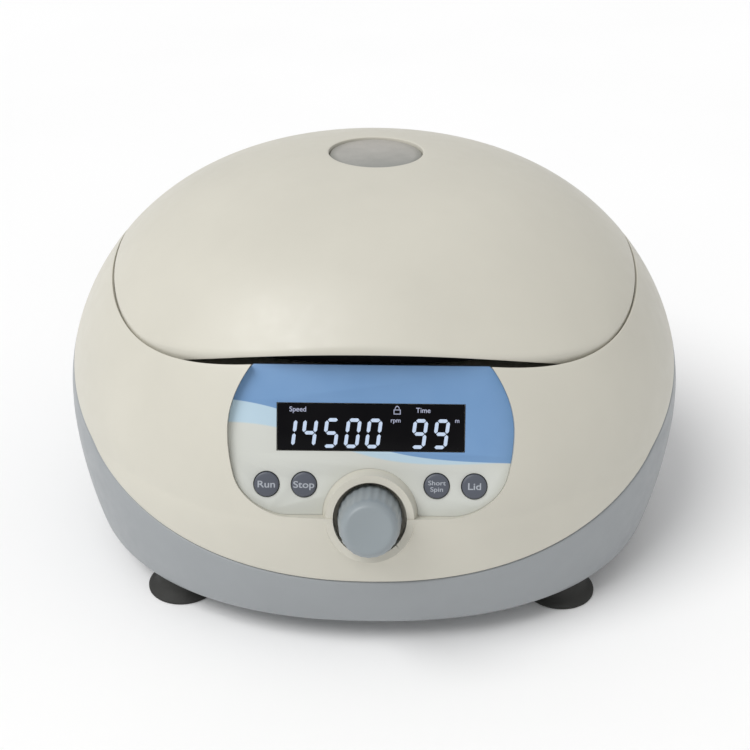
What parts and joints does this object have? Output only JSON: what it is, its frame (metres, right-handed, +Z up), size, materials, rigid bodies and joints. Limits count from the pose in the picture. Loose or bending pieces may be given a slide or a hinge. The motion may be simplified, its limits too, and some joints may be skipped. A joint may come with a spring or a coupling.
{
  "type": "laboratory centrifuge",
  "caption": "Bench-top mini centrifuge: domed hinged lid with a round window over a fixed-angle rotor, on a grey base with a sloping panel, display, buttons and knob.",
  "frame": {"origin": "middle of the footprint on the surface it stands on", "axes": "+Z up, -Y towards the user at the control panel, +X to the user's right"},
  "size_m": [0.255, 0.2637, 0.1516],
  "materials": {
    "cream_shell": "fine moulded texture, light satin",
    "grey_shell": "fine moulded texture",
    "dark_plastic": "black moulded plastic",
    "panel_overlay": "printed film, off-white with a blue wave",
    "display_glass": "black display window",
    "frosted_window": "frosted clear plastic",
    "knob_grey": "satin grey",
    "button_grey": "satin dark grey",
    "rubber_black": "moulded rubber",
    "steel": "plain steel",
    "aluminium": "turned and anodised",
    "board": "solder-masked board",
    "white_plastic": "natural moulded plastic"
  },
  "bodies": {
    "housing": {"base_shell": "grey_shell", "bottom_plate": "steel", "upper_housing": "cream_shell", "chamber_bowl": "aluminium", "chamber_seal": "rubber_black", "motor_mount_plate": "steel", "damper_1": "rubber_black", "damper_2": "rubber_black", "damper_3": "rubber_black", "motor_housing": "aluminium", "motor_stator": "steel", "bearing_lower": "steel", "bearing_upper": "steel", "hinge_pin": "steel", "hinge_spring": "steel", "latch_solenoid": "dark_plastic", "control_panel": "panel_overlay", "display_lens": "display_glass", "display_module": "dark_plastic", "control_board": "board", "encoder_body": "steel", "power_inlet": "dark_plastic", "inlet_pin_live": "steel", "inlet_pin_earth": "steel", "inlet_pin_neutral": "steel", "power_switch_frame": "dark_plastic", "power_board": "board", "drive_board": "board", "foot_front_left": "rubber_black", "foot_screw_front_left": "steel", "foot_front_right": "rubber_black", "foot_screw_front_right": "steel", "foot_rear_left": "rubber_black", "foot_screw_rear_left": "steel", "foot_rear_right": "rubber_black", "foot_screw_rear_right": "steel"},
    "lid": {"lid_shell": "cream_shell", "lid_liner": "dark_plastic", "sight_tube": "dark_plastic", "lid_window": "frosted_window", "lid_window_ring": "rubber_black", "latch_hook": "steel"},
    "spinning_rotor": {"rotor": "aluminium", "rotor_nut": "knob_grey", "rotor_shaft": "steel", "motor_rotor": "steel"},
    "knob_plunger": {"encoder_plunger": "white_plastic"},
    "knob": {"knob_cap": "knob_grey", "knob_shaft": "steel"},
    "run_button": {"button_run": "button_grey"},
    "stop_button": {"button_stop": "button_grey"},
    "short_spin_button": {"button_short_spin": "button_grey"},
    "lid_button": {"button_lid": "button_grey"},
    "power_rocker": {"power_switch_rocker": "dark_plastic"},
    "latch": {"latch_bolt": "steel"}
  },
  "joints": [
    {"name": "lid_hinge", "type": "hinge", "parent": "housing", "child": "lid", "pos_m": [0, 0.0974, 0.1195], "axis": [-1, 0, 0], "range_deg": [0, 78]},
    {"name": "rotor_spin", "type": "hinge", "parent": "housing", "child": "spinning_rotor", "pos_m": [0, 0.0174, 0.06], "axis": [0, 0, 1], "continuous": true},
    {"name": "knob_push", "type": "slide", "parent": "housing", "child": "knob_plunger", "axis": [0, 0.9135, -0.4067], "range_m": [0, 0.0008], "stiffness_N_per_m": 900, "springref_m": -0.0006},
    {"name": "knob_turn", "type": "hinge", "parent": "knob_plunger", "child": "knob", "pos_m": [0, -0.10576, 0.06023], "axis": [0, -0.9135, 0.4067], "continuous": true},
    {"name": "latch_slide", "type": "slide", "parent": "housing", "child": "latch", "axis": [1, 0, 0], "range_m": [0, 0.0064]},
    {"name": "power_rocker_tilt", "type": "hinge", "parent": "housing", "child": "power_rocker", "pos_m": [0.024, 0.1194, 0.04], "axis": [1, 0, 0], "range_deg": [0, 16]},
    {"name": "run_press", "type": "slide", "parent": "housing", "child": "run_button", "axis": [0, 0.9135, -0.4067], "range_m": [0, 0.001], "stiffness_N_per_m": 700, "springref_m": -0.0006},
    {"name": "stop_press", "type": "slide", "parent": "housing", "child": "stop_button", "axis": [0, 0.9135, -0.4067], "range_m": [0, 0.001], "stiffness_N_per_m": 700, "springref_m": -0.0006},
    {"name": "short_spin_press", "type": "slide", "parent": "housing", "child": "short_spin_button", "axis": [0, 0.9135, -0.4067], "range_m": [0, 0.001], "stiffness_N_per_m": 700, "springref_m": -0.0006},
    {"name": "lid_press", "type": "slide", "parent": "housing", "child": "lid_button", "axis": [0, 0.9135, -0.4067], "range_m": [0, 0.001], "stiffness_N_per_m": 700, "springref_m": -0.0006}
  ]
}
